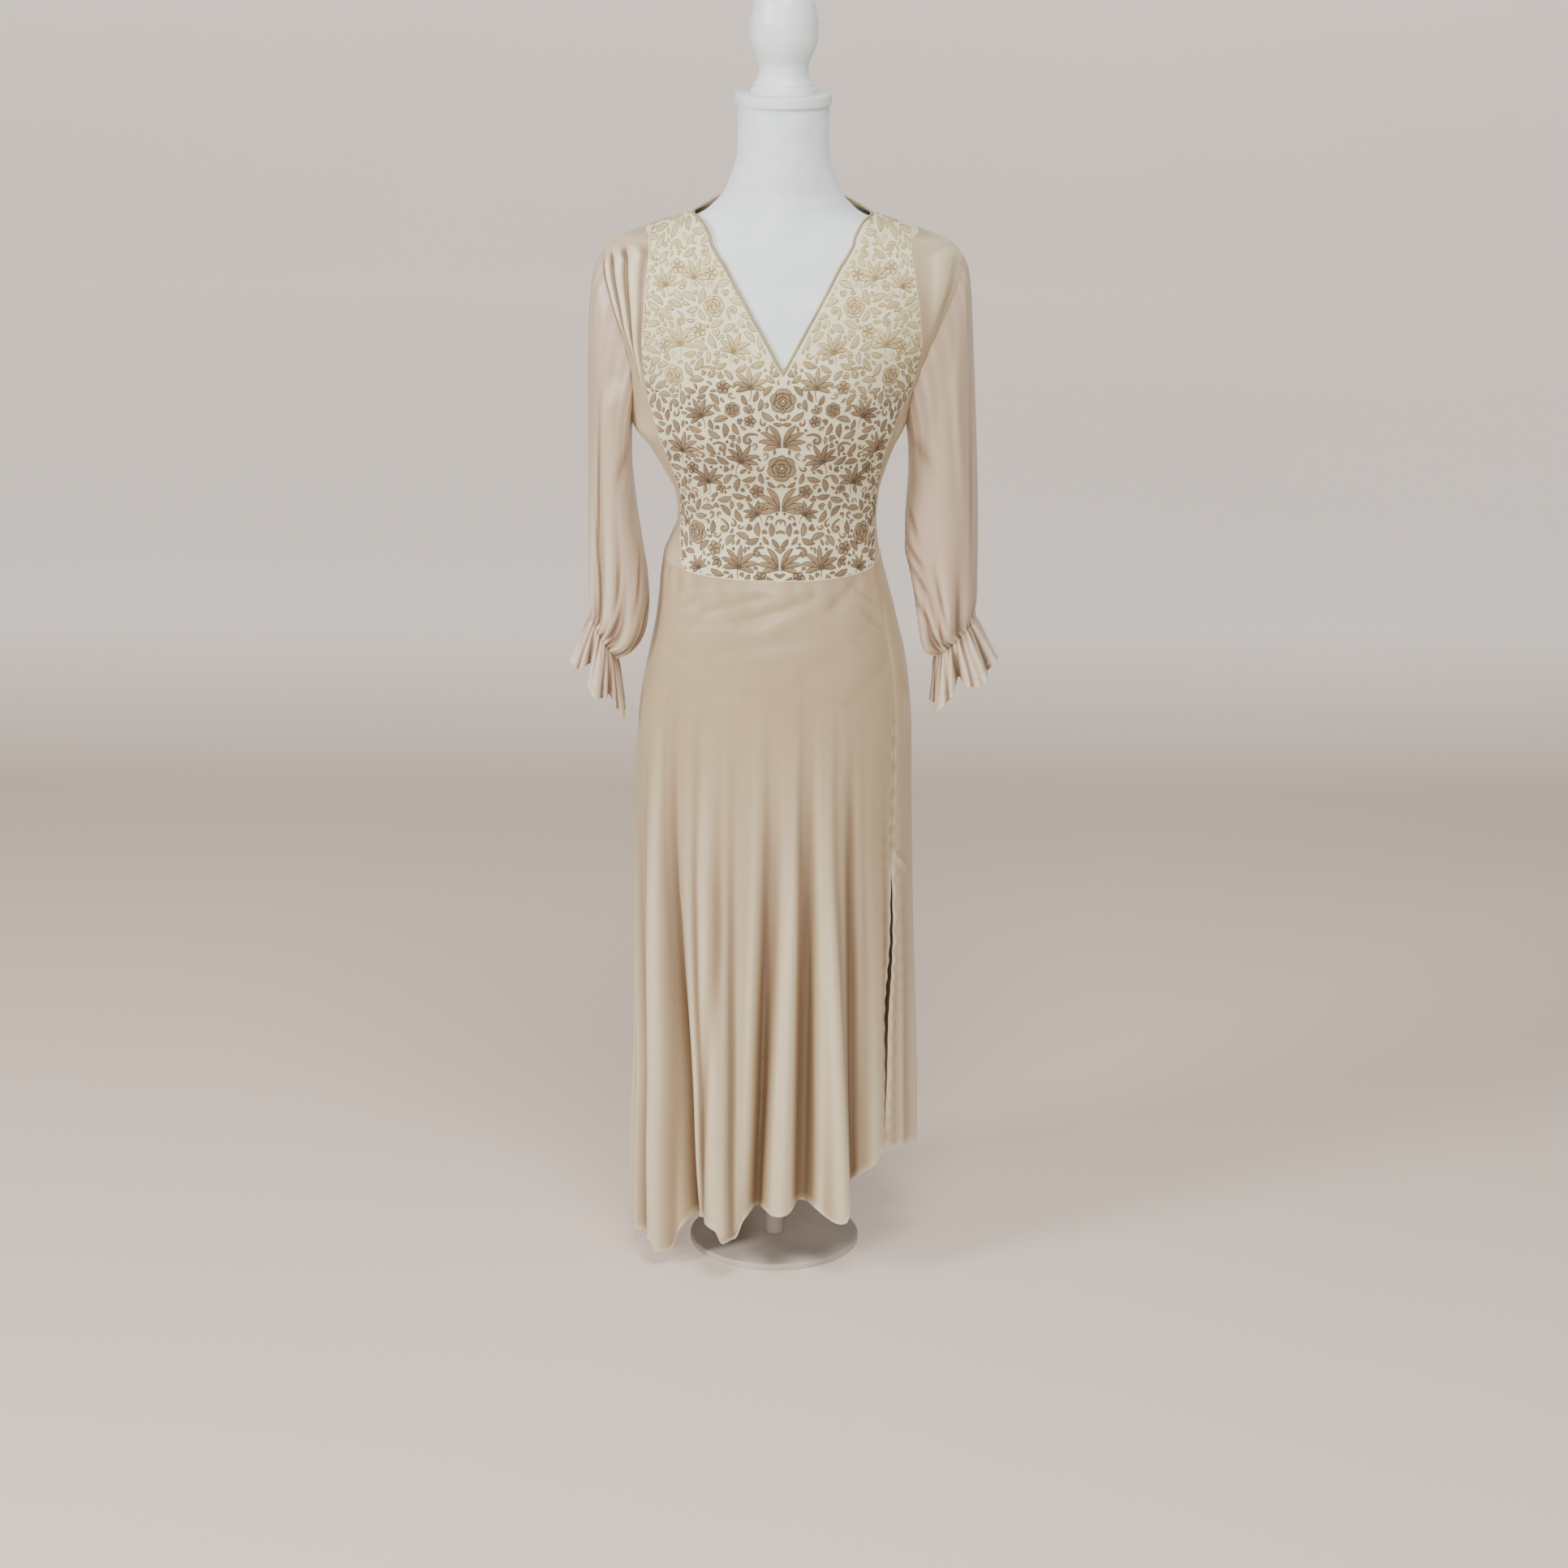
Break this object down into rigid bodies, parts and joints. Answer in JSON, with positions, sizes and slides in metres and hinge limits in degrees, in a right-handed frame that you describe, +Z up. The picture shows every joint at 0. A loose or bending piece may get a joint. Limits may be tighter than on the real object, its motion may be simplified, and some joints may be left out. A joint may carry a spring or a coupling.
{
  "type": "embroidered long dress on a limbless dress form",
  "caption": "Champagne satin long dress with an embroidered V-neck front panel, gathered ruffle sleeves and a side slit, on a white limbless dress form with a pole and base.",
  "frame": {"origin": "centre of the underside of the stand's base", "axes": "+Z up along the pole, -Y out of the dress's front, +X to the right as seen from the front"},
  "size_m": [0.5453, 0.3256, 1.6568],
  "materials": {
    "satin": "satin",
    "embroidered_cloth": "cream ground with satin-stitched taupe and gold motifs",
    "piping": "matte",
    "jersey_cover": "matte",
    "painted_wood": "white paint, satin",
    "painted_steel": "powder coated"
  },
  "bodies": {
    "root": {"dress_front_panel": "embroidered_cloth", "dress_side_front_left": "satin", "dress_side_front_right": "satin", "dress_back": "satin", "neck_piping_left": "piping", "neck_piping_right": "piping", "neck_binding_back": "piping", "sleeve_left": "satin", "sleeve_right": "satin", "cuff_ruffle_left": "satin", "cuff_ruffle_right": "satin", "skirt_front": "satin", "skirt_back": "satin", "form_body": "jersey_cover", "form_neck_cap": "painted_wood", "form_finial": "painted_wood", "stand_pole": "painted_steel", "stand_base": "painted_steel"}
  },
  "joints": []
}
